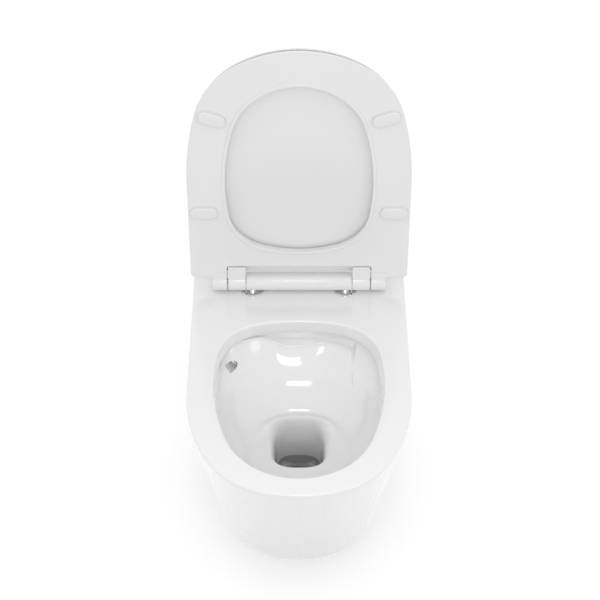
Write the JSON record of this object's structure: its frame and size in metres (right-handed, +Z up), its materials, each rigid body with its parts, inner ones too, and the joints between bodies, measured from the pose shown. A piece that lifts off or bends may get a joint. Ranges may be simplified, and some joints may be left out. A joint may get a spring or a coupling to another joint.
{
  "type": "wall hung toilet",
  "caption": "Rimless wall hung toilet pan with a D-shaped soft-close seat and lid standing raised on a round hinge bar.",
  "frame": {"origin": "on the wall plane, midway between the two fixing studs", "axes": "+X to the right seen from the front, +Y towards the wall, +Z up; the seat and the lid stand raised at rest"},
  "size_m": [0.3576, 0.5283, 0.8099],
  "materials": {
    "ceramic": "white high-gloss glaze",
    "seat_white": "white, satin gloss",
    "hinge_white": "white, satin gloss",
    "cap_white": "white, glossy",
    "buffer_white": "soft white, satin",
    "damper_plastic": "dark, matte",
    "nylon": "pale grey, matte",
    "rubber": "black, matte",
    "chrome": "polished",
    "steel": "zinc-plated, plain"
  },
  "bodies": {
    "pan_body": {"pan": "ceramic", "inlet_seal": "rubber", "hinge_bar": "hinge_white", "seat_damper_case": "damper_plastic", "lid_damper_case": "damper_plastic", "stud_sleeve_left": "nylon", "stud_sleeve_right": "nylon", "side_screw_left": "steel", "side_screw_right": "steel", "side_cap_left": "cap_white", "side_cap_right": "cap_white", "hinge_disc_left": "chrome", "hinge_disc_right": "chrome", "disc_gasket_left": "rubber", "disc_gasket_right": "rubber", "hinge_post_left": "chrome", "hinge_post_right": "chrome", "hinge_bolt_left": "steel", "hinge_bolt_right": "steel", "expansion_bush_left": "rubber", "expansion_bush_right": "rubber", "cone_nut_left": "steel", "cone_nut_right": "steel"},
    "seat": {"seat_ring": "seat_white", "seat_damper_shaft": "steel", "hinge_pin": "steel", "seat_buffer_front_left": "buffer_white", "seat_buffer_front_right": "buffer_white", "seat_buffer_rear_left": "buffer_white", "seat_buffer_rear_right": "buffer_white"},
    "lid": {"lid": "seat_white", "lid_damper_shaft": "steel", "lid_bush": "nylon", "lid_buffer_front_left": "buffer_white", "lid_buffer_front_right": "buffer_white", "lid_buffer_rear_left": "buffer_white", "lid_buffer_rear_right": "buffer_white"}
  },
  "joints": [
    {"name": "seat_hinge", "type": "hinge", "parent": "pan_body", "child": "seat", "pos_m": [0, -0.075, 0.108], "axis": [1, 0, 0], "range_deg": [0, 94]},
    {"name": "lid_hinge", "type": "hinge", "parent": "pan_body", "child": "lid", "pos_m": [0, -0.075, 0.108], "axis": [1, 0, 0], "range_deg": [0, 94]}
  ],
  "couplings": [
    {"joint": "lid_hinge", "follows": "seat_hinge", "ratio": 1}
  ]
}
